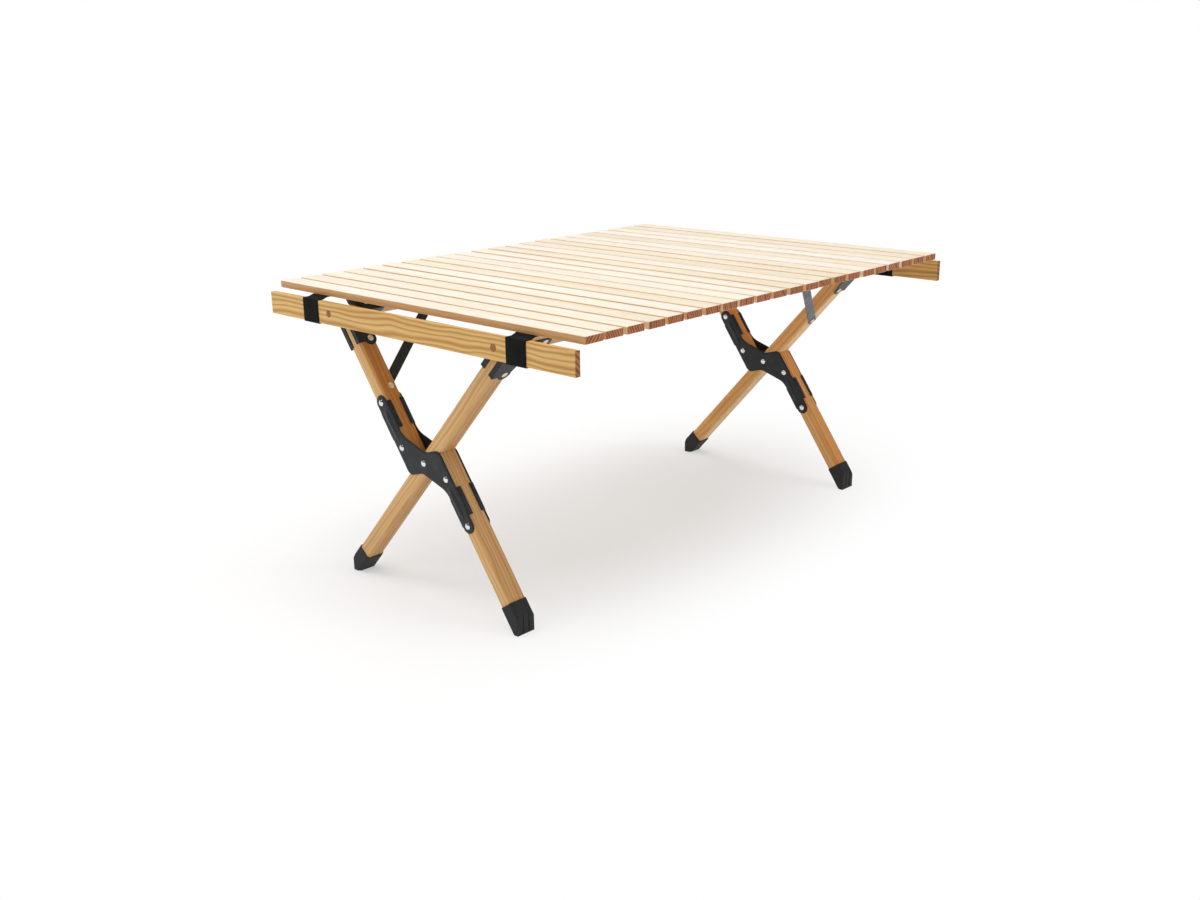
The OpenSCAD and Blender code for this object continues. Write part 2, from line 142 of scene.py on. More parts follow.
class CampTableFrame(bpy.types.PropertyGroup):
    """Sizes and colours of the folding frame"""
    wood_round: bpy.props.FloatProperty(
        name="Wood edge", description="Rounding on the edges of legs and rails",
        default=0.0007, min=0.0002, max=0.002, unit="LENGTH")
    steel_round: bpy.props.FloatProperty(
        name="Steel edge", description="Rounding on the edges of plates, brackets and braces",
        default=0.0004, min=0.0001, max=0.001, unit="LENGTH")
    leg_early: bpy.props.FloatVectorProperty(
        name="Leg spring wood", description="Pale part of a growth ring in legs and rails",
        default=(0.68, 0.445, 0.205), min=0, max=1, subtype="COLOR")
    leg_late: bpy.props.FloatVectorProperty(
        name="Leg summer wood", description="Dark line of a growth ring in legs and rails",
        default=(0.545, 0.295, 0.10), min=0, max=1, subtype="COLOR")
    # Painted shade: this tint darkens the leg sides that face along the slats, most on the upper legs under
    # the top
    leg_flank_shade: bpy.props.FloatVectorProperty(
        name="Leg flank", description="Tint on the sides of a leg that face along the slats",
        default=(0.80, 0.52, 0.26), min=0, max=1, subtype="COLOR")
    coat: bpy.props.FloatVectorProperty(
        name="Black coat", description="Coat on plates, brackets and the near brace",
        default=(0.015, 0.0168, 0.0196), min=0, max=1, subtype="COLOR")
    paint: bpy.props.FloatVectorProperty(
        name="Grey paint", description="Paint on the far brace",
        default=(0.052, 0.058, 0.076), min=0, max=1, subtype="COLOR")
    rubber: bpy.props.FloatVectorProperty(
        name="Rubber", description="Colour of the boots",
        default=(0.015, 0.015, 0.016), min=0, max=1, subtype="COLOR")


class CampTableStage(bpy.types.PropertyGroup):
    """Light and camera"""
    key: bpy.props.FloatProperty(
        name="Top light", description="Power of the large lamp over the table",
        default=54.0, min=0, unit="POWER")
    side: bpy.props.FloatProperty(
        name="End light", description="Power of the lamp at the near end",
        default=14.5, min=0, unit="POWER")
    fill: bpy.props.FloatProperty(
        name="Side light", description="Power of the lamp along the slat ends",
        default=19.0, min=0, unit="POWER")
    sky: bpy.props.FloatProperty(
        name="Room light", description="Strength of the light from all round",
        default=0.38, min=0)
    lens: bpy.props.FloatProperty(
        name="Lens", description="Focal length on a 36 mm sensor",
        default=38.37, min=10, max=200)


# Shader building

def join(tree, node, inputs):
    """Sets a node's sockets: another node's output is linked, anything else is stored."""
    for socket, value in inputs.items():
        if isinstance(value, bpy.types.NodeSocket):
            tree.links.new(value, node.inputs[socket])
        else:
            node.inputs[socket].default_value = value


def wire(tree, kind, inputs=None, **settings):
    """Adds one shader node: settings are its own options, inputs its sockets."""
    node = tree.nodes.new("ShaderNode" + kind)
    for key, value in settings.items():
        setattr(node, key, value)
    join(tree, node, inputs or {})
    return node


def calc(tree, operation, a, b=0.0):
    """One sum of two numbers or sockets."""
    return wire(tree, "Math", {0: a, 1: b}, operation=operation).outputs[0]


def span(tree, value, low, high, to_low, to_high):
    """Maps value from low..high to to_low..to_high and keeps it there."""
    node = wire(tree, "MapRange", {0: value, 1: low, 2: high, 3: to_low, 4: to_high})
    return node.outputs[0]


def varied(tree, value, amount):
    """One plus a share of a value."""
    return calc(tree, "ADD", 1.0, calc(tree, "MULTIPLY", value, amount))


def stretch(tree, vector, x, y, z):
    """Multiplies a vector by its own number on each axis."""
    return wire(tree, "VectorMath", {0: vector, 1: (x, y, z)}, operation="MULTIPLY").outputs[0]


def noise(tree, vector, detail=2.0, rough=0.5):
    """Fractal noise at scale one over a stretched vector."""
    node = wire(tree, "TexNoise", {"Vector": vector, "Scale": 1.0, "Detail": detail, "Roughness": rough})
    return node.outputs[0]


def speckle(tree, vector, scale, detail=2.0, rough=0.5):
    """Fractal noise with one scale on all axes."""
    return noise(tree, stretch(tree, vector, scale, scale, scale), detail, rough)


def sway(tree, vector, size):
    """Fractal noise about zero, spread over size."""
    return calc(tree, "MULTIPLY", calc(tree, "SUBTRACT", noise(tree, vector), 0.5), size)


def ramp(tree, value, stops):
    """Colours at places from 0 to 1, blended in between."""
    node = wire(tree, "ValToRGB", {0: value})
    band = node.color_ramp
    while len(band.elements) < len(stops):
        band.elements.new(0.5)
    for element, (place, colour) in zip(band.elements, stops):
        element.position = place
        element.color = (*colour, 1.0)
    return node.outputs[0]


def blend_colours(tree, factor, a, b, kind="MIX"):
    """Mixes two colours by a factor."""
    return wire(tree, "Mix", {0: factor, 6: a, 7: b}, data_type="RGBA", blend_type=kind).outputs[2]


def empty_tree(owner):
    """The owner's shader nodes, switched on and cleared."""
    owner.use_nodes = True
    owner.node_tree.nodes.clear()
    return owner.node_tree


def new_material(name):
    """An empty material with a shader and its output, joined."""
    material = bpy.data.materials.new(name)
    tree = empty_tree(material)
    shader = wire(tree, "BsdfPrincipled")
    wire(tree, "OutputMaterial", {0: shader.outputs[0]})
    return material, tree, shader


def relief(tree, shader, height, strength, depth):
    """Joins a height to the shader's normal."""
    bump = wire(tree, "Bump", {"Height": height, "Strength": strength, "Distance": depth})
    tree.links.new(bump.outputs[0], shader.inputs["Normal"])


def shaded(colour, gain):
    """A colour times a number or three numbers, kept below one."""
    return tuple(float(c) for c in np.clip(np.array(colour[:]) * np.array(gain), 0, 1))


def growth_rings(tree, log, ring, wave):
    """Place in a growth ring, from 0 to 1. Distance from the log's pith, bent by slow noise and curled by
    finer noise, is divided by the ring width and made uneven from year to year. Its fraction is kept."""
    across = wire(tree, "VectorMath", {0: stretch(tree, log, 1, 1, 0)}, operation="LENGTH").outputs["Value"]
    bend = sway(tree, stretch(tree, log, 11, 11, wave), 0.02)
    curl = sway(tree, stretch(tree, log, 90, 90, 11), 0.0016)
    radius = calc(tree, "ADD", calc(tree, "ADD", across, bend), curl)
    years = calc(tree, "DIVIDE", radius, ring)
    pace = calc(tree, "MULTIPLY", years, 0.6)
    uneven = wire(tree, "TexNoise", {"W": pace, "Scale": 1.0}, noise_dimensions="1D").outputs[0]
    return calc(tree, "FRACT", calc(tree, "ADD", years, uneven))


def end_grain(tree, saw, early, mid, late, ends, calm):
    """The rings on a face cut across the grain, darker and redder than on the sides: spring or summer wood
    times a gain and the tint of the ends, evened out by calm."""
    tones = (
        (0.0, early, (0.80, 0.52, 0.32)),
        (0.35, early, (0.70, 0.42, 0.25)),
        (0.55, late, (0.48, 0.23, 0.15)),
        (0.72, late, (0.19, 0.075, 0.05)),
        (0.9, late, (0.22, 0.09, 0.06)),
        (1.0, early, (0.75, 0.47, 0.30)),
    )
    cut = ramp(tree, saw, [(place, shaded(shaded(colour, gain), ends)) for place, colour, gain in tones])
    even = shaded(shaded(mid, (0.5, 0.3, 0.22)), ends)
    return blend_colours(tree, calm, cut, (*even, 1.0))


def lined_up(tree, facing, axis, low, high):
    """The cosine between a face's normal and an axis, either way round, mapped from low..high to 0..1."""
    cosine = wire(tree, "VectorMath", {0: facing, 1: axis}, operation="DOT_PRODUCT").outputs["Value"]
    return span(tree, calc(tree, "ABSOLUTE", cosine), low, high, 0.0, 1.0)


def pine(name, grain, ring, early, late, gloss, contrast=1.0, flank=None, shine=0.3, soft=True, wave=4.6,
         ends=(1.0, 1.0, 1.0), calm=0.0):
    """Softwood as a solid. The place in a growth ring picks a colour from pale spring wood to a dark line
    of summer wood, and faces cut across the grain show the same rings as end grain. Noise drawn out along
    the fibres streaks it, broad and warm or fine. With flank, an axis and a tint, faces square to that
    axis are toned by the tint as painted shade, or as painted light where the tint is above one, as
    strongly as the piece's own share of painted side shading goes."""
    material, tree, shader = new_material(name)
    log = wire(tree, "Attribute", attribute_name="log").outputs["Vector"]
    saw = growth_rings(tree, log, ring, wave)
    mid = tuple(0.5 * (a + b) for a, b in zip(early, late))
    pale = shaded(early, (0.985, 0.965, 0.93))
    if soft:
        stops = [(0.0, early), (0.22, pale), (0.48, mid), (0.68, late), (0.86, mid), (1.0, early)]
    else:
        deep = shaded(late, 0.95)
        stops = [(0.0, early), (0.34, pale), (0.62, mid), (0.8, late), (0.91, deep), (1.0, early)]
    facing = wire(tree, "TexCoord").outputs["Normal"]
    end = lined_up(tree, facing, grain, 0.72, 0.86)
    side = ramp(tree, saw, stops)
    base = blend_colours(tree, end, side, end_grain(tree, saw, early, mid, late, ends, calm))
    # Painted shade on the side faces: faces square to the flank axis take the tint, scaled per piece; a
    # tint above one paints light there instead
    if flank:
        axis, tint = flank
        painted_side_shading = wire(tree, "Attribute", attribute_name="painted_side_shading").outputs["Fac"]
        painted_shade_share = calc(tree, "MULTIPLY", lined_up(tree, facing, axis, 0.45, 0.85), painted_side_shading)
        base = blend_colours(tree, painted_shade_share, base, (*tint, 1.0), "MULTIPLY")
    streak = noise(tree, stretch(tree, log, 130, 130, 3.2))
    blush = span(tree, streak, 0.46, 0.68, 0.0, 0.75 * contrast)
    base = blend_colours(tree, blush, base, (1.0, 0.87, 0.68, 1.0), "MULTIPLY")
    fibre = noise(tree, stretch(tree, log, 1300, 1300, 16), 4.0, 0.6)
    patch = noise(tree, stretch(tree, log, 32, 32, 3.5))
    shade = wire(tree, "Attribute", attribute_name="shade").outputs["Fac"]
    fine = span(tree, fibre, 0.3, 0.7, 1.0 - 0.11 * contrast, 1.0 + 0.05 * contrast)
    broad = span(tree, patch, 0.3, 0.7, 1.0 - 0.06 * contrast, 1.0 + 0.04 * contrast)
    gain = calc(tree, "MULTIPLY", calc(tree, "MULTIPLY", fine, broad), varied(tree, shade, 0.03))
    warm = {axis: varied(tree, shade, amount) for axis, amount in enumerate((0.01, 0.035, 0.10))}
    warmth = wire(tree, "CombineXYZ", warm).outputs[0]
    base = wire(tree, "VectorMath", {0: base, 1: warmth}, operation="MULTIPLY").outputs[0]
    colour = wire(tree, "VectorMath", {0: base, "Scale": gain}, operation="SCALE").outputs[0]
    rough = span(tree, fibre, 0.3, 0.7, gloss - 0.06, gloss + 0.1)
    rough = calc(tree, "ADD", rough, calc(tree, "MULTIPLY", end, 0.35))
    join(tree, shader, {"Base Color": colour, "Roughness": rough, "Specular IOR Level": shine})
    ridge = calc(tree, "SINE", calc(tree, "MULTIPLY", saw, math.pi))
    height = calc(tree, "ADD", calc(tree, "MULTIPLY", ridge, 0.35), fibre)
    relief(tree, shader, height, 0.22, 0.0004)
    return material


def coated_steel(name, colour, gloss):
    """Baked coat on steel: two sizes of noise give orange peel, broad noise dulls and lightens patches."""
    material, tree, shader = new_material(name)
    place = wire(tree, "TexCoord").outputs["Object"]
    peel = speckle(tree, place, 1100)
    grit = speckle(tree, place, 4200)
    rub = speckle(tree, place, 70, 4.0, 0.65)
    tone = ramp(tree, rub, [(0.3, shaded(colour, 0.82)), (0.55, colour[:]), (0.75, shaded(colour, 1.45))])
    speck = span(tree, grit, 0.62, 0.72, 0.0, 0.22)
    join(tree, shader, {
        "Base Color": blend_colours(tree, speck, tone, (*shaded(colour, 3.2), 1.0)),
        "Roughness": span(tree, rub, 0.3, 0.7, gloss + 0.08, gloss - 0.08),
        "Specular IOR Level": 0.28,
    })
    relief(tree, shader, calc(tree, "ADD", peel, calc(tree, "MULTIPLY", grit, 0.35)), 0.16, 0.0003)
    return material


def bare_metal(name, colour, rough):
    """Turned metal: fine noise roughens it, slow noise tints it."""
    material, tree, shader = new_material(name)
    place = wire(tree, "TexCoord").outputs["Object"]
    haze = speckle(tree, place, 300, 3.0)
    mark = speckle(tree, place, 2600, 3.0)
    join(tree, shader, {
        "Base Color": ramp(tree, haze, [(0.3, shaded(colour, (0.86, 0.85, 0.84))), (0.7, colour)]),
        "Metallic": 1.0,
        "Roughness": span(tree, mark, 0.3, 0.7, rough - 0.06, rough + 0.1),
    })
    relief(tree, shader, mark, 0.06, 0.0002)
    return material


def moulded_rubber(name, colour):
    """Moulded rubber: fine pebble noise for the skin, slow noise for a dusty bloom."""
    material, tree, shader = new_material(name)
    place = wire(tree, "TexCoord").outputs["Object"]
    skin = speckle(tree, place, 1700, 3.0)
    bloom = noise(tree, stretch(tree, place, 90, 90, 60), 4.0, 0.6)
    tone = ramp(tree, bloom, [(0.3, colour[:]), (0.6, shaded(colour, 1.5)), (0.8, shaded(colour, 2.6))])
    join(tree, shader, {
        "Base Color": tone,
        "Roughness": span(tree, bloom, 0.3, 0.7, 0.55, 0.8),
        "Specular IOR Level": 0.32,
    })
    relief(tree, shader, skin, 0.3, 0.0004)
    return material


def half_round(tree, value):
    """Height over a row of half round yarns, one for each whole number."""
    return calc(tree, "ABSOLUTE", calc(tree, "SINE", calc(tree, "MULTIPLY", value, math.pi)))


def woven_webbing(name, colour, yarn):
    """Plain weave on the piece's own lengths: cells of one yarn alternate like a chess board, and each cell
    is a half round along the strap or across it."""
    material, tree, shader = new_material(name)
    weave = wire(tree, "Attribute", attribute_name="weave").outputs["Vector"]
    parts = wire(tree, "SeparateXYZ", {0: weave})
    along = calc(tree, "DIVIDE", parts.outputs[0], yarn * 1.3)
    side = calc(tree, "DIVIDE", parts.outputs[1], yarn)
    cell = calc(tree, "ADD", calc(tree, "FLOOR", along), calc(tree, "FLOOR", side))
    odd = calc(tree, "MODULO", calc(tree, "ABSOLUTE", cell), 2.0)
    yarns = {0: odd, 2: half_round(tree, side), 3: half_round(tree, along)}
    pick = wire(tree, "Mix", yarns, data_type="FLOAT").outputs[0]
    fuzz = speckle(tree, weave, 5200, 3.0)
    wear = speckle(tree, weave, 60, 3.0)
    # Painted shade and highlight: the colour follows the yarn height, darker in the hollows between yarns
    # and lighter on their crowns
    tone = ramp(tree, pick, [(0.0, shaded(colour, 0.35)), (0.6, colour[:]), (1.0, shaded(colour, 1.7))])
    light = span(tree, wear, 0.3, 0.7, 0.8, 1.35)
    join(tree, shader, {
        "Base Color": wire(tree, "VectorMath", {0: tone, "Scale": light}, operation="SCALE").outputs[0],
        "Roughness": 0.85,
        "Specular IOR Level": 0.12,
        "Sheen Weight": 0.02,
        "Sheen Roughness": 0.4,
    })
    height = calc(tree, "ADD", pick, calc(tree, "MULTIPLY", fuzz, 0.35))
    relief(tree, shader, height, 0.6, 0.0004)
    return material


def pale_floor():
    """A dull floor that keeps the shadow near the table. Seen straight or in a mirror it turns into plain
    white by a smooth step over the distance from the middle of an oval."""
    material = bpy.data.materials.new("pale_floor")
    tree = empty_tree(material)
    place = wire(tree, "TexCoord").outputs["Object"]
    moved = wire(tree, "VectorMath", {0: place, 1: (-0.04, 0.1, 0.0)}, operation="SUBTRACT").outputs[0]
    oval = stretch(tree, moved, 0.8, 1.6, 1.0)
    far = wire(tree, "VectorMath", {0: oval}, operation="LENGTH").outputs["Value"]
    edges = {0: far, 1: 0.22, 2: 0.76, 3: 0.38, 4: 1.0}
    fade = wire(tree, "MapRange", edges, interpolation_type="SMOOTHSTEP").outputs[0]
    path = wire(tree, "LightPath").outputs
    seen = calc(tree, "MAXIMUM", path["Is Camera Ray"], path["Is Glossy Ray"])
    seen = calc(tree, "MAXIMUM", seen, path["Is Transmission Ray"])
    dull = wire(tree, "BsdfDiffuse", {"Color": (0.925, 0.915, 0.915, 1.0)}).outputs[0]
    white = wire(tree, "Emission", {"Color": (1, 1, 1, 1), "Strength": 1.0}).outputs[0]
    mix = wire(tree, "MixShader", {0: calc(tree, "MULTIPLY", fade, seen), 1: dull, 2: white})
    wire(tree, "OutputMaterial", {0: mix.outputs[0]})
    return material


# Mesh building

def placed(name, data):
    """A new object in the scene."""
    item = bpy.data.objects.new(name, data)
    bpy.context.scene.collection.objects.link(item)
    return item


def smoothed(mesh):
    """The mesh with all its faces shaded smooth."""
    mesh.polygons.foreach_set("use_smooth", np.ones(len(mesh.polygons), dtype=bool))
    return mesh


def solid(name, points, quads, caps=()):
    """A closed mesh from arrays: quads and end faces, turned so that its signed volume is positive."""
    corners = points[quads]
    first = np.cross(corners[:, 1] - corners[:, 0], corners[:, 2] - corners[:, 0])
    second = np.cross(corners[:, 2] - corners[:, 0], corners[:, 3] - corners[:, 0])
    middle = points.mean(axis=0)
    volume = ((corners[:, 0] - middle) * (first + second)).sum()
    faces = quads.tolist() + [list(cap) for cap in caps]
    if volume < 0:
        faces = [face[::-1] for face in faces]
    mesh = bpy.data.meshes.new(name)
    mesh.from_pydata(points.tolist(), [], faces)
    smoothed(mesh).validate()
    return placed(name, mesh)


def ring_quads(rows, count):
    """Quads between neighbouring closed rows of count points each."""
    row, item = np.meshgrid(np.arange(rows - 1), np.arange(count), indexing="ij")
    after = (item + 1) % count
    here = row * count
    quads = np.stack([here + item, here + after, here + count + after, here + count + item], axis=-1)
    return quads.reshape(-1, 4)


def stack(x, y, z):
    """A closed shell from rows of places on three axes: its points, the quads between the rows, and the
    first row, turned round, and the last row as end faces."""
    points = np.stack(np.broadcast_arrays(x, y, z), axis=-1)
    rows, count = points.shape[:2]
    caps = [list(range(count))[::-1], list(range((rows - 1) * count, rows * count))]
    return points.reshape(-1, 3), ring_quads(rows, count), caps


def gathered(shells):
    """Several shells as one set of points, quads and end faces."""
    points = []
    quads = []
    caps = []
    start = 0
    for shell_points, shell_quads, shell_caps in shells:
        points.append(shell_points)
        quads.append(shell_quads + start)
        caps += [[index + start for index in cap] for cap in shell_caps]
        start += len(shell_points)
    return np.concatenate(points), np.concatenate(quads), caps


def rounded_section(half_w, half_h, radius, steps):
    """Corner centres and directions of a rounded rectangle: a point is its centre plus radius times its
    direction."""
    turn = np.linspace(0, math.pi / 2, steps)
    angle = (np.arange(4)[:, None] * (math.pi / 2) + turn[None, :]).ravel()
    facing = np.stack([np.cos(angle), np.sin(angle)], axis=1)
    sign = np.array([[1, 1], [-1, 1], [-1, -1], [1, -1]], dtype=float)
    centre = np.repeat(sign * np.array([half_w - radius, half_h - radius]), steps, axis=0)
    return centre, facing


def give_values(piece, name, kind, values):
    """Stores one value per point as a named attribute."""
    layer = piece.data.attributes.new(name, kind, "POINT")
    field = "value" if kind == "FLOAT" else "vector"
    layer.data.foreach_set(field, np.ascontiguousarray(values, dtype=np.float32).ravel())


def points_of(piece):
    """The piece's points as an array."""
    flat = np.empty(len(piece.data.vertices) * 3, dtype=np.float32)
    piece.data.vertices.foreach_get("co", flat)
    return flat.reshape(-1, 3).astype(float)


def saw_from_log(piece, axes, pith, turn, lean, seed, painted_side_shading=1.0):
    """Gives each point its place in the log: axes are three unit rows, two across the grain and one along
    it, pith is the distance to the log's middle, turn the direction to it, lean how far the grain runs
    out of the piece, and the last value how strongly its sides take the painted shading."""
    chance = np.random.default_rng(seed)
    points = points_of(piece)
    local = (points - points.mean(axis=0)) @ np.array(axes).T
    along = local[:, 2]
    u = local[:, 0] + pith * math.cos(turn) + lean[0] * along
    v = local[:, 1] + pith * math.sin(turn) + lean[1] * along
    give_values(piece, "log", "FLOAT_VECTOR", np.stack([u, v, along + chance.uniform(1, 40)], axis=1))
    give_values(piece, "shade", "FLOAT", np.full(len(local), chance.uniform(-1, 1)))
    # Per-piece strength of the painted shading on the side faces
    give_values(piece, "painted_side_shading", "FLOAT", np.full(len(local), painted_side_shading))


def in_panel_a(local):
    """Turns (along, across, up) of the split legs' panel into the table's frame."""
    c, s = math.cos(LEAN_A), math.sin(LEAN_A)
    y = local[:, 1] * c + local[:, 2] * s
    z = PIVOT - local[:, 1] * s + local[:, 2] * c
    return np.stack([local[:, 0], y, z], axis=1)


def filleted(corners, steps):
    """A closed outline whose corners are arcs: each arc touches both edges at radius over the tangent of
    half the angle, and its points turn evenly about the centre on the bisector."""
    given = np.array(corners, dtype=float)
    here, radius = given[:, :2], given[:, 2]
    back = np.roll(here, 1, axis=0) - here
    ahead = np.roll(here, -1, axis=0) - here
    back /= np.linalg.norm(back, axis=1)[:, None]
    ahead /= np.linalg.norm(ahead, axis=1)[:, None]
    half = np.arccos(np.clip((back * ahead).sum(axis=1), -1, 1)) / 2
    middle = back + ahead
    middle /= np.linalg.norm(middle, axis=1)[:, None]
    centre = here + middle * (radius / np.sin(half))[:, None]
    start = here + back * (radius / np.tan(half))[:, None] - centre
    end = here + ahead * (radius / np.tan(half))[:, None] - centre
    first = np.arctan2(start[:, 1], start[:, 0])
    swing = np.arctan2(start[:, 0] * end[:, 1] - start[:, 1] * end[:, 0], (start * end).sum(axis=1))
    angle = first[:, None] + swing[:, None] * np.linspace(0, 1, steps)[None]
    x = centre[:, 0:1] + radius[:, None] * np.cos(angle)
    y = centre[:, 1:2] + radius[:, None] * np.sin(angle)
    return np.stack([x, y], axis=-1).reshape(-1, 2)


def strip_along(path, half_wide, thick, round_edge):
    """Rows of a flat strip carried along a path of (a, b) points, its width along a third axis c: a point
    is the path's plus its height along the path's normal."""
    ahead = np.gradient(path, axis=0)
    ahead /= np.linalg.norm(ahead, axis=1)[:, None]
    up = np.stack([-ahead[:, 1], ahead[:, 0]], axis=1)
    corner, facing = rounded_section(half_wide, thick / 2, round_edge, 4)
    section = corner + round_edge * facing
    a = path[:, 0:1] + up[:, 0:1] * section[None, :, 1]
    b = path[:, 1:2] + up[:, 1:2] * section[None, :, 1]
    c = np.broadcast_to(section[None, :, 0], a.shape)
    return a, b, c


def rounded_copy(node, width, segments):
    """A copy of one solid: its loose triangles are merged, flat faces are joined and edges get a small
    round."""
    merge = 4e-6
    flat = math.radians(0.8)
    sharp = math.radians(24)
    source = frame["nodes"][node].data
    points = np.empty(len(source.vertices) * 3, dtype=np.float32)
    source.vertices.foreach_get("co", points)
    faces = np.empty(len(source.loops), dtype=np.int32)
    source.loops.foreach_get("vertex_index", faces)
    mesh = bpy.data.meshes.new(node + "_dressed")
    mesh.from_pydata(points.reshape(-1, 3).tolist(), [], faces.reshape(-1, 3).tolist())
    form = bmesh.new()
    form.from_mesh(mesh)
    bmesh.ops.remove_doubles(form, verts=form.verts, dist=merge)
    bmesh.ops.dissolve_limit(form, angle_limit=flat, verts=form.verts, edges=form.edges)
    form.to_mesh(mesh)
    form.free()
    piece = placed(node + "_dressed", smoothed(mesh))
    bevel = piece.modifiers.new("edge", "BEVEL")
    bevel.width = width
    bevel.segments = segments
    bevel.limit_method = "ANGLE"
    bevel.angle_limit = sharp
    bevel.use_clamp_overlap = True
    bevel.harden_normals = True
    return piece


def settle(piece, node, material):
    """Puts the finished piece in the place of its solid, on the solid's body."""
    piece.data.materials.append(material)
    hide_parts(node)
    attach(piece, BODY_OF[node])


class CAMPTABLE_OT_slats(bpy.types.Operator):
    """Planed slats with eased edges, each from its own place in the log"""
    bl_idname = "camptable.slats"
    bl_label = "Slats"

    def execute(self, context):
        top = context.scene.camp_table_top
        look = (GRAIN_Y[2], 0.0037, top.slat_early[:], top.slat_late[:], 0.42, 0.8)
        finish = {"shine": 0.8, "soft": False, "ends": (0.82, 0.51, 0.27), "calm": 0.15}
        # The long sides of the slats take painted shade, deeper on the first and last slat
        inner = pine("slat_pine", *look, ((1, 0, 0), top.slat_flank_shade[:]), **finish)
        outer = pine("slat_pine_end", *look, ((1, 0, 0), top.slat_front_shade[:]), **finish)
        chance = np.random.default_rng(22)
        for number, node in enumerate(SLATS):
            piece = self.slat(node, 0.001 * SEATS[number], top, chance.uniform(-1, 1, 5))
            turn = chance.uniform(0.02, 0.4) * math.pi / 2 * (1 if chance.random() < 0.6 else -1)
            lean = chance.uniform(-0.012, 0.012, 2)
            # How strongly this slat's long sides take the painted shade; every fifth slat takes it in full
            painted_side_shading = 1.0 if number % 5 == 0 else chance.uniform(0.35, 1.0)
            pith = chance.uniform(0.045, 0.1)
            saw_from_log(piece, GRAIN_Y, pith, turn, lean, 100 + number, painted_side_shading)
            settle(piece, node, outer if node in (SLATS[0], SLATS[-1]) else inner)
        return {"FINISHED"}

    def slat(self, node, seat, top, slips):
        """A rounded section carried along the slat, drawn in by a small round close to both ends. The slips
        shift it along its length, shorten it, thin it and skew it."""
        low, high = (np.array(corner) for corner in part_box(node))
        half = (high - low) / 2
        centre = (high + low) / 2
        shift, short, worn, _, skew = slips
        edge = np.array([0.8, 0.35, 0.1, 0.0]) * 0.001
        round_in = np.concatenate([edge, edge[::-1]])
        from_end = np.array([0, 0.0002, 0.0005, 0.0009])
        reach = half[1] - 0.0006 * abs(short)
        place = np.concatenate([-reach + from_end, (reach - from_end)[::-1]]) + top.stagger * shift
        thin = 0.00025 * abs(worn)
        corner, facing = rounded_section(half[0], half[2] - thin / 2, top.ease, 5)
        section = corner[None] + (top.ease - round_in)[:, None, None] * facing[None]
        x = centre[0] + section[..., 0] + seat + place[:, None] * 0.001 * skew
        z = centre[2] - thin / 2 + section[..., 1]
        return solid(node + "_wood", *stack(x, place[:, None], z))


class CAMPTABLE_OT_beams(bpy.types.Operator):
    """End beams on edge, and the dowels whose ends show as plugs"""
    bl_idname = "camptable.beams"
    bl_label = "End beams"

    def execute(self, context):
        top = context.scene.camp_table_top
        wood = pine("beam_pine", GRAIN_Y[2], 0.0058, top.beam_early[:], top.beam_late[:], 0.4, wave=6.5,
                    ends=(1.15, 1.35, 2.0), calm=0.55)
        plug = pine("dowel_beech", GRAIN_X[2], 0.0016, (0.62, 0.48, 0.32), (0.52, 0.40, 0.25), 0.5)
        for number, end in enumerate(ENDS):
            beam = rounded_copy("beam_" + end, 0.0006, 3)
            turn = math.radians(52 + 8 * number)
            saw_from_log(beam, GRAIN_Y, 0.085, turn, (0.006, 0.006), 300 + number)
            settle(beam, "beam_" + end, wood)
            dowels = rounded_copy("dowels_" + end, 0.0003, 2)
            saw_from_log(dowels, GRAIN_X, 0.02, 0.8, (0.0, 0.0), 320 + number)
            settle(dowels, "dowels_" + end, plug)
        return {"FINISHED"}


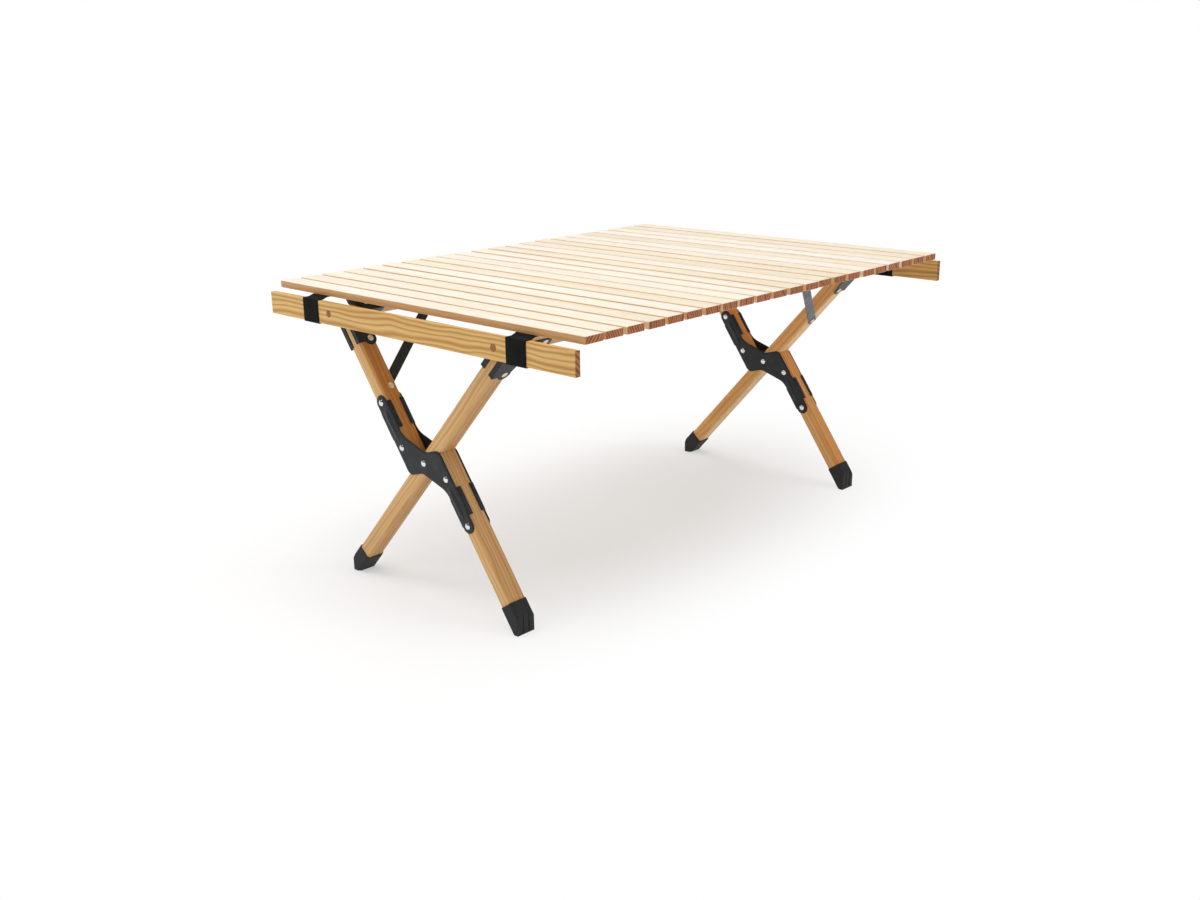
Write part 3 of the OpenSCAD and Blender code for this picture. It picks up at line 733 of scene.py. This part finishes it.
class CAMPTABLE_OT_straps(bpy.types.Operator):
    """Webbing straps, one length for each gap"""
    bl_idname = "camptable.straps"
    bl_label = "Webbing straps"

    def execute(self, context):
        top = context.scene.camp_table_top
        cloth = woven_webbing("black_webbing", top.webbing[:], top.yarn)
        slat_low, slat_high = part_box(SLATS[-1])
        low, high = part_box("strap_left")
        beam_low, beam_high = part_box("beam_far")
        thick = 0.0013
        clear = 0.00003
        tuck = 0.001
        level = slat_low[2] - thick / 2 - clear
        wide = high[1] - low[1]
        middle = (high[1] + low[1]) / 2
        chain = ["near_end"] + ["body_" + node for node in SLATS] + ["far_end"]
        boxes = [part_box(node) for node in SLATS]
        for gap in range(1, len(SLATS)):
            left = boxes[gap - 1]
            right = boxes[gap]
            x0 = (left[0][0] + left[1][0]) / 2
            x1 = (right[0][0] + right[1][0]) / 2
            x = np.concatenate([[x0], np.linspace(left[1][0] - tuck, right[0][0] + tuck, 13), [x1]])
            path = np.stack([x, np.full(len(x), level)], axis=1)
            piece = self.band("strap_gap_%02d" % gap, path, wide, middle, thick, cloth)
            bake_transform(piece)
            if gap == len(SLATS) // 2:
                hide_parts("strap_left", "strap_right")
        loops = ((1, "far", chain[-2], chain[-1]), (-1, "near", chain[1], chain[0]))
        for side, name, slat, body in loops:
            path = self.end_path(slat_low, slat_high, beam_low, beam_high, level, thick)
            path[:, 0] *= side
            piece = self.band("strap_loop_" + name, path, wide, middle, thick, cloth)
            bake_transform(piece)
        return {"FINISHED"}

    def end_path(self, slat_low, slat_high, beam_low, beam_high, level, thick):
        """Middle line of a strap's end: level under the last slat, down in a smooth step on to the beam,
        and round the beam with a small arc at each corner until it meets itself inside."""
        away = thick / 2 + 0.00006
        soft = 0.0006
        ease = np.linspace(0, 1, 12)
        step = ease * ease * (3 - 2 * ease)
        over = beam_high[2] + away
        x_in = beam_low[0]
        x_out = beam_high[0]
        run = [np.array([[(slat_low[0] + slat_high[0]) / 2, level], [slat_high[0] - 0.002, level]])]
        step_x = slat_high[0] - 0.001 + ease * (x_in + 0.0012 - slat_high[0])
        step_z = level + (over - level) * step
        run.append(np.stack([step_x, step_z], axis=1))
        turn = np.linspace(0, math.pi / 2, 7)
        reach = soft + away
        corners = (
            (x_out - soft, beam_high[2] - soft, math.pi / 2),
            (x_out - soft, beam_low[2] + soft, 0.0),
            (x_in + soft, beam_low[2] + soft, -math.pi / 2),
        )
        for cx, cz, start in corners:
            angle = start - turn
            run.append(np.stack([cx + reach * np.cos(angle), cz + reach * np.sin(angle)], axis=1))
        run.append(np.array([[x_in - away, beam_high[2] - 0.004], [x_in - away, beam_high[2] - 0.0008]]))
        return np.concatenate(run)

    def band(self, name, path, wide, middle, thick, cloth):
        """A strip with rounded edges carried along a path in the XZ plane, once for each strap. The weave
        runs on the length along the path and the place across it."""
        x, z, across = strip_along(path, wide / 2, thick, thick * 0.42)
        steps = np.linalg.norm(np.diff(path, axis=0), axis=1)
        length = np.concatenate([[0], np.cumsum(steps)]) + path[0, 0]
        length = np.broadcast_to(length[:, None], x.shape)
        shells = []
        cells = []
        for side in (1, -1):
            y = side * middle + across
            shells.append(stack(x, y, z))
            cells.append(np.stack([length, y, 0 * x], axis=-1).reshape(-1, 3))
        piece = solid(name, *gathered(shells))
        give_values(piece, "weave", "FLOAT_VECTOR", np.concatenate(cells))
        piece.data.materials.append(cloth)
        return piece


class CAMPTABLE_OT_frame_wood(bpy.types.Operator):
    """Legs and rails with rounded edges, grain along each stick"""
    bl_idname = "camptable.frame_wood"
    bl_label = "Legs and rails"

    def execute(self, context):
        part = context.scene.camp_table_frame
        ca, sa = math.cos(LEAN_A), math.sin(LEAN_A)
        cb, sb = math.cos(LEAN_B), math.sin(LEAN_B)
        axes_a = ((1, 0, 0), (0, ca, -sa), (0, sa, ca))
        axes_b = ((1, 0, 0), (0, cb, sb), (0, -sb, cb))
        ring = 0.0052
        finish = (0.43, 1.15)
        # Painted warm light: the far legs get a redder, brighter copy of the leg wood in place of the warm
        # light they show in shade
        warm_light_gain = (1.21, 1.03, 0.82)
        look = (ring, part.leg_early[:], part.leg_late[:], *finish)
        look_far_warm_lit = (ring, shaded(part.leg_early, warm_light_gain), shaded(part.leg_late, warm_light_gain), *finish)
        flank_a = (axes_a[1], part.leg_flank_shade[:])
        flank_b = (axes_b[1], part.leg_flank_shade[:])
        # Painted light: this tint, above one, whitens the side faces of the far plain leg
        painted_light_b = (axes_b[1], (1.15, 1.5, 2.3))
        wood_a = pine("leg_pine_split", axes_a[2], *look, flank_a)
        wood_b = pine("leg_pine_plain", axes_b[2], *look, flank_b)
        wood_a_warm_lit = pine("leg_pine_split_far", axes_a[2], *look_far_warm_lit, flank_a)
        wood_b_warm_lit = pine("leg_pine_plain_far", axes_b[2], *look_far_warm_lit, painted_light_b)
        wood_rail = pine("rail_pine", GRAIN_X[2], *look)
        # The last number of each stick is how strongly its sides take the painted shading: strong on the
        # upper legs shaded by the top, weak lower down, and strong on the far plain leg for its painted
        # light
        sticks = [
            ("leg_a_near_upper", wood_a, axes_a, 1.0), ("leg_a_near_lower", wood_a, axes_a, 0.3),
            ("leg_a_far_upper", wood_a_warm_lit, axes_a, 0.9), ("leg_a_far_lower", wood_a_warm_lit, axes_a, 0.5),
            ("leg_b_near", wood_b, axes_b, 0.3), ("leg_b_far", wood_b_warm_lit, axes_b, 1.0),
            ("rail_a", wood_rail, GRAIN_X, 0.3), ("rail_b", wood_rail, GRAIN_X, 0.3),
        ]
        chance = np.random.default_rng(8)
        for number, (node, wood, axes, painted_side_shading) in enumerate(sticks):
            piece = rounded_copy(node, part.wood_round, 3)
            lean = chance.uniform(-0.01, 0.01, 2)
            pith = chance.uniform(0.05, 0.09)
            turn = chance.uniform(0.2, 1.3)
            saw_from_log(piece, axes, pith, turn, lean, 400 + number, painted_side_shading)
            settle(piece, node, wood)
        return {"FINISHED"}


class CAMPTABLE_OT_steel(bpy.types.Operator):
    """Coated plates and brackets, and the two braces"""
    bl_idname = "camptable.steel"
    bl_label = "Plates, brackets and braces"

    def execute(self, context):
        part = context.scene.camp_table_frame
        coat = coated_steel("black_coat", part.coat[:], 0.42)
        paint = coated_steel("grey_paint", part.paint[:], 0.36)
        for node in ("z_plate_near_outer", "z_plate_near_inner", "z_plate_far_inner", "z_plate_far_outer"):
            settle(self.plate(node), node, coat)
        for node in ("bracket_a_near", "bracket_a_far", "bracket_b_near", "bracket_b_far", "brace_near"):
            settle(rounded_copy(node, part.steel_round, 3), node, coat)
        settle(rounded_copy("brace_far", part.steel_round, 3), "brace_far", paint)
        for panel, lean in (("a", LEAN_A), ("b", -LEAN_B)):
            for hand in (-1, 1):
                cap = self.cap("rail_" + panel, lean, hand)
                cap.data.materials.append(coat)
                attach(cap, BODY_OF["rail_" + panel])
        return {"FINISHED"}

    def cap(self, rail, lean, hand):
        """A thin plate over the bare end of a rail, above the leg: a leaning four sided outline with small
        fillets, carried out along the rail with its front edge rounded off."""
        low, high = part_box(rail)
        level = high[2] - 0.0004
        depth = 0.0127
        soft = 0.0012
        margin = 0.0003
        wide = 2 * LEG_HALF / math.cos(lean) + 0.0036
        fall = depth * math.tan(lean)
        start = high[1] - wide if lean > 0 else low[1]
        corners = [
            (start + margin, level, soft),
            (start + wide, level, soft),
            (start + wide - fall, level - depth, soft),
            (start + margin - fall, level - depth, soft),
        ]
        outline = filleted(corners, 6)
        middle = outline.mean(axis=0)
        out = np.array([0.0001, 0.0008, 0.0011, 0.0012])
        shrink = np.array([1.0, 1.0, 0.985, 0.955])
        ring = middle + (outline - middle)[None] * shrink[:, None, None]
        x = hand * (high[0] + out)
        name = "%s_cap_%s" % (rail, "near" if hand < 0 else "far")
        return solid(name, *stack(x[:, None], ring[..., 0], ring[..., 1]))

    def plate(self, node):
        """A pressed plate: an S shaped outline with filleted corners is carried through the thickness while
        its edge rolls in by a quarter circle on the outside. Four bent tabs grip the sides of the legs."""
        low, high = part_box(node)
        outward = -1 if "near_outer" in node or "far_inner" in node else 1
        thick = 0.002
        inner = low[0] + thick if outward < 0 else high[0] - thick
        wide = LEG_HALF - 0.0005
        tip = 0.1145
        tip_round = 0.0102
        half = [
            (LANE + wide, tip, tip_round),
            (LANE - wide, tip, tip_round),
            (LANE - wide, 0.050, 0.03),
            (-0.012, 0.0105, 0.016),
            (-LANE - wide, 0.0012, 0.011),
        ]
        outline = filleted(half + [(-p, -q, r) for p, q, r in half], 9)
        after = np.roll(outline, -1, axis=0)
        step = after - np.roll(outline, 1, axis=0)
        step /= np.linalg.norm(step, axis=1)[:, None]
        normal = np.stack([step[:, 1], -step[:, 0]], axis=1)
        area = (outline[:, 0] * after[:, 1] - outline[:, 1] * after[:, 0]).sum()
        normal *= np.sign(area)
        turn = np.linspace(0, math.pi / 2, 8)
        roll = 0.0016
        soft = 0.0026
        depth = np.concatenate([[0, 0.0001], thick - roll + roll * np.sin(turn)])
        inset = np.concatenate([[0.0002, 0], soft - soft * np.cos(turn)])
        rings = outline[None] - inset[:, None, None] * normal[None]
        x = inner + outward * depth
        shells = [stack(x[:, None], rings[..., 0], rings[..., 1])]
        for side in (1, -1):
            for hand, q0, q1 in ((-1, 0.062, 0.102), (1, 0.052, 0.092)):
                shells.append(self.tab(inner, outward, side, hand, q0, q1))
            shells.append(self.bead(inner + outward * thick, outward, side))
        points, quads, caps = gathered(shells)
        return solid(node + "_pressed", in_panel_a(points), quads, caps)

    def bead(self, face, outward, side):
        """A pressed bead along an arm of the plate: across it a squared cosine, along it faded out by a
        smooth step at both ends, on a flat base sunk a little below the plate's face."""
        tall = 0.0016
        half_wide = 0.006
        first = 0.045
        length = 0.05
        fade = 0.22
        t = np.linspace(-1, 1, 15)
        s = np.linspace(0, 1, 25)
        ease = np.clip(np.minimum(s, 1 - s) / fade, 0, 1)
        ease = ease * ease * (3 - 2 * ease)
        rise = tall * ease[:, None] * np.cos(t * math.pi / 2)[None] ** 2 - 0.00004
        sunk = np.full((len(s), 2), face - outward * 0.0006)
        x = np.concatenate([face + outward * rise, sunk], axis=1)
        across = side * (LANE - 0.0012) + half_wide * t
        across = np.concatenate([across, across[[-1, 0]]])
        along = side * (first + length * s)
        return stack(x, across, along[:, None])

    def tab(self, inner, outward, side, hand, q0, q1):
        """A tab bent round the edge of a leg: level with the plate, a quarter turn, then along the leg's
        side."""
        thick = 0.0015
        bend = 0.0021
        edge = LEG_HALF + thick / 2
        turn = np.linspace(0, math.pi / 2, 8)
        across = np.concatenate([[edge - bend - 0.003], edge - bend + bend * np.sin(turn), [edge, edge]])
        level = inner + outward * 0.0009
        round_part = level - outward * (bend - bend * np.cos(turn))
        straight = [level - outward * 0.005, level - outward * 0.0069]
        along = np.concatenate([[level], round_part, straight])
        path = np.stack([along, side * LANE + side * hand * across], axis=1)
        x, p, q = strip_along(path, (q1 - q0) / 2, thick, 0.0005)
        return stack(x, p, q + side * (q0 + q1) / 2)


class CAMPTABLE_OT_rivets(bpy.types.Operator):
    """Bright domed rivets and pins, and the finish of the flat ones"""
    bl_idname = "camptable.rivets"
    bl_label = "Rivets and pins"

    def execute(self, context):
        bright = bare_metal("bright_zinc", (0.83, 0.84, 0.85), 0.13)
        # Painted reflection: the flat rivets are metal, and their pale yellow tint stands in for the warm
        # wood they reflect in shade
        pale = bare_metal("warm_reflection_metal", (0.74, 0.67, 0.50), 0.3)
        on_arms = [(side * LANE, side * q) for side in (1, -1) for q in (0.036, 0.104)]
        kinds = (("plate_rivets_", on_arms, 0.003), ("scissor_pin_", [(0.0, 0.0)], 0.0035))
        for end in ENDS:
            for kind, places, shank in kinds:
                node = kind + end
                settle(self.group(node, places, shank), node, bright)
        for node in ("bracket_rivets_a", "bracket_rivets_b", "brace_rivets_near", "brace_rivets_far"):
            settle(rounded_copy(node, 0.0011, 5), node, pale)
        return {"FINISHED"}

    def group(self, node, places, shank):
        """Rivets along X: a profile turned about each axis, a round dome on both ends. The dome is a
        sphere's cap whose radius is the sum of squares of head radius and height over twice the height."""
        low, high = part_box(node)
        tall = 0.0024
        wide = 0.00475
        facets = 28
        ball = (wide * wide + tall * tall) / (2 * tall)
        angle = np.linspace(0.03, math.asin(wide / ball), 10)
        lift = ball * np.cos(angle) - (ball - tall)
        radius = np.concatenate([ball * np.sin(angle), [shank]])
        reach = np.concatenate([lift, [0.0]])
        x = np.concatenate([low[0] + tall - reach, (high[0] - tall + reach)[::-1]])[:, None]
        r = np.concatenate([radius, radius[::-1]])[:, None]
        turn = np.arange(facets) * (2 * math.pi / facets)
        shells = [stack(x, p + r * np.cos(turn), q + r * np.sin(turn)) for p, q in places]
        points, quads, caps = gathered(shells)
        return solid(node + "_turned", in_panel_a(points), quads, caps)


class CAMPTABLE_OT_boots(bpy.types.Operator):
    """Rubber boots with soft edges"""
    bl_idname = "camptable.boots"
    bl_label = "Rubber boots"

    def execute(self, context):
        part = context.scene.camp_table_frame
        rubber = moulded_rubber("black_rubber", part.rubber[:])
        for panel in ("a", "b"):
            for end in ENDS:
                node = "foot_%s_%s" % (panel, end)
                settle(rounded_copy(node, 0.0011, 4), node, rubber)
        return {"FINISHED"}


class CAMPTABLE_OT_stage(bpy.types.Operator):
    """Pale floor, soft lamps and the camera"""
    bl_idname = "camptable.stage"
    bl_label = "Stage"

    def execute(self, context):
        stage = context.scene.camp_table_stage
        scene = context.scene
        self.floor()
        self.room(scene, stage)
        self.lamp("lamp_top", (-0.2, 0.45, 2.55), (0.0, 0.0, 0.3), 2.6, stage.key)
        end = self.lamp("lamp_end", (-2.4, 0.5, 0.95), (0.0, 0.0, 0.2), 1.8, stage.side)
        end.visible_glossy = False
        self.lamp("lamp_side", (0.75, -2.45, 1.9), (0.0, 0.0, 0.2), 1.5, stage.fill)
        data = bpy.data.cameras.new("view")
        data.lens = stage.lens
        data.sensor_width = 36.0
        data.sensor_fit = "HORIZONTAL"
        camera = placed("view", data)
        place = (-1.4179, -1.2729, CAD_BOX[1][2] + 0.3035)
        camera.matrix_world = self.look(place, heading=43.01, down=17.22, roll=-0.77)
        scene.camera = camera
        scene.view_settings.view_transform = "Standard"
        return {"FINISHED"}

    def turned(self, right, up, back, place):
        """Matrix from three unit axes and a place."""
        matrix = np.eye(4)
        matrix[:3, :3] = np.stack([right, up, back], axis=1)
        matrix[:3, 3] = place
        return Matrix(matrix.tolist())

    def look(self, place, heading, down, roll):
        """Camera matrix from its place, compass heading, downward tilt and roll, in degrees."""
        h, p, r = (math.radians(value) for value in (heading, down, roll))
        ahead = np.array([math.cos(h) * math.cos(p), math.sin(h) * math.cos(p), -math.sin(p)])
        right = np.cross(ahead, (0, 0, 1))
        right /= np.linalg.norm(right)
        up = np.cross(right, ahead)
        right, up = math.cos(r) * right + math.sin(r) * up, math.cos(r) * up - math.sin(r) * right
        return self.turned(right, up, -ahead, place)

    def lamp(self, name, place, target, size, power):
        """A square soft lamp aimed at a point."""
        data = bpy.data.lights.new(name, "AREA")
        data.shape = "SQUARE"
        data.size = size
        data.energy = power
        lamp = placed(name, data)
        away = np.array(place) - np.array(target)
        away /= np.linalg.norm(away)
        right = np.cross((0, 0, 1), away)
        right /= np.linalg.norm(right)
        lamp.matrix_world = self.turned(right, np.cross(away, right), away, place)
        return lamp

    def floor(self):
        """A wide level sheet: an even grid just below the soles."""
        cells = 12
        half_side = 9
        below = 0.0003
        grid = np.linspace(-half_side, half_side, cells + 1)
        x, y = np.meshgrid(grid, grid, indexing="ij")
        points = np.stack([x, y, np.full(x.shape, -below)], axis=-1).reshape(-1, 3)
        row, item = np.meshgrid(np.arange(cells), np.arange(cells), indexing="ij")
        first = (row * (cells + 1) + item).ravel()
        beside = first + cells + 1
        quads = np.stack([first, beside, beside + 1, first + 1], axis=1)
        mesh = bpy.data.meshes.new("floor")
        mesh.from_pydata(points.tolist(), [], quads.tolist())
        sheet = placed("floor", mesh)
        sheet.data.materials.append(pale_floor())

    def room(self, scene, stage):
        """Even light from all round, plain white where it is seen. Mirrors see a dark ceiling high up."""
        scene.world = bpy.data.worlds.new("room")
        tree = empty_tree(scene.world)
        path = wire(tree, "LightPath").outputs
        seen = calc(tree, "MAXIMUM", path["Is Camera Ray"], path["Is Transmission Ray"])
        height = wire(tree, "SeparateXYZ", {0: wire(tree, "TexCoord").outputs["Generated"]}).outputs[2]
        ceiling = span(tree, height, 0.16, 0.48, 1.0 - stage.sky, 0.04 - stage.sky)
        strength = calc(tree, "ADD", calc(tree, "MULTIPLY", seen, 1.0 - stage.sky),
                        calc(tree, "MULTIPLY", path["Is Glossy Ray"], ceiling))
        strength = calc(tree, "ADD", strength, stage.sky)
        light = wire(tree, "Background", {"Color": (1, 1, 1, 1), "Strength": strength})
        wire(tree, "OutputWorld", {0: light.outputs[0]})


class CAMPTABLE_PT_panel(bpy.types.Panel):
    """Lists the table's pieces and their values"""
    bl_idname = "CAMPTABLE_PT_panel"
    bl_label = "Camp Table"
    bl_space_type = "VIEW_3D"
    bl_region_type = "UI"
    bl_category = "Camp Table"

    def draw(self, context):
        layout = self.layout
        scene = context.scene
        for group in (scene.camp_table_top, scene.camp_table_frame, scene.camp_table_stage):
            box = layout.box()
            for key in group.__annotations__:
                box.prop(group, key)
        for operator in OPERATORS:
            layout.operator(operator.bl_idname)


OPERATORS = (
    CAMPTABLE_OT_slats, CAMPTABLE_OT_beams, CAMPTABLE_OT_straps, CAMPTABLE_OT_frame_wood,
    CAMPTABLE_OT_steel, CAMPTABLE_OT_rivets, CAMPTABLE_OT_boots, CAMPTABLE_OT_stage,
)
CLASSES = (CampTableTop, CampTableFrame, CampTableStage) + OPERATORS + (CAMPTABLE_PT_panel,)


def register():
    for item in CLASSES:
        bpy.utils.register_class(item)
    bpy.types.Scene.camp_table_top = bpy.props.PointerProperty(type=CampTableTop)
    bpy.types.Scene.camp_table_frame = bpy.props.PointerProperty(type=CampTableFrame)
    bpy.types.Scene.camp_table_stage = bpy.props.PointerProperty(type=CampTableStage)


def unregister():
    del bpy.types.Scene.camp_table_stage
    del bpy.types.Scene.camp_table_frame
    del bpy.types.Scene.camp_table_top
    for item in reversed(CLASSES):
        bpy.utils.unregister_class(item)


def main():
    """Builds the table piece by piece."""
    register()
    bpy.ops.camptable.slats()
    bpy.ops.camptable.beams()
    bpy.ops.camptable.straps()
    bpy.ops.camptable.frame_wood()
    bpy.ops.camptable.steel()
    bpy.ops.camptable.rivets()
    bpy.ops.camptable.boots()
    bpy.ops.camptable.stage()


if __name__ == "__main__":
    main()
